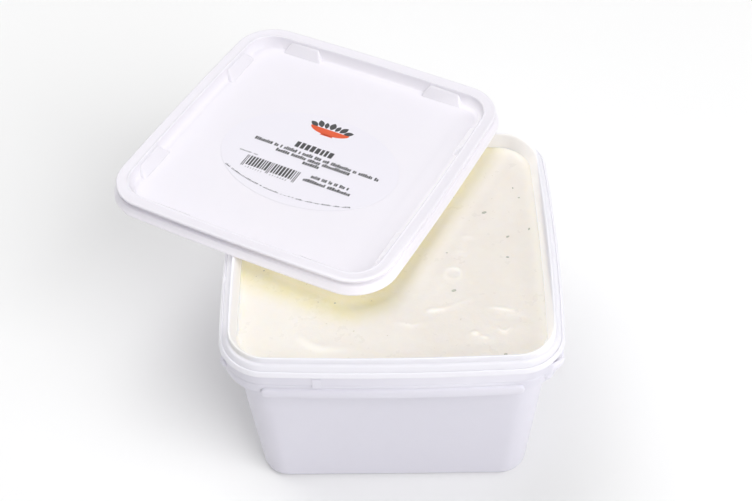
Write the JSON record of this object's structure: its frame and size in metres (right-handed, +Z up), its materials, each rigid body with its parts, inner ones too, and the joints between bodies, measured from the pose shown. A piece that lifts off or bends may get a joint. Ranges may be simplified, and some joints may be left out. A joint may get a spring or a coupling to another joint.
{
  "type": "catering tub of herb yoghurt dip with its lid lying askew on the rim",
  "caption": "Square white snap-lid catering tub filled with pale herb yoghurt dip; the labelled lid lies askew over the back left of the rim, which leaves the front right open.",
  "frame": {"origin": "centre of the flat middle of the tub's underside", "axes": "+Z up out of the tub's mouth; -Y towards the side that carries the bridged tear band's front; the lid lies over the back left corner, towards -X and +Y"},
  "size_m": [0.2285, 0.2476, 0.1179],
  "materials": {
    "tub_plastic": "white polypropylene, satin",
    "lid_plastic": "white polypropylene, satin",
    "dip_cream": "thick pale cream with fine green herb flecks, wet sheen",
    "label_film": "thin printed film, satin"
  },
  "bodies": {
    "root": {"tub": "tub_plastic", "dip": "dip_cream", "lid": "lid_plastic", "label": "label_film"}
  },
  "joints": []
}
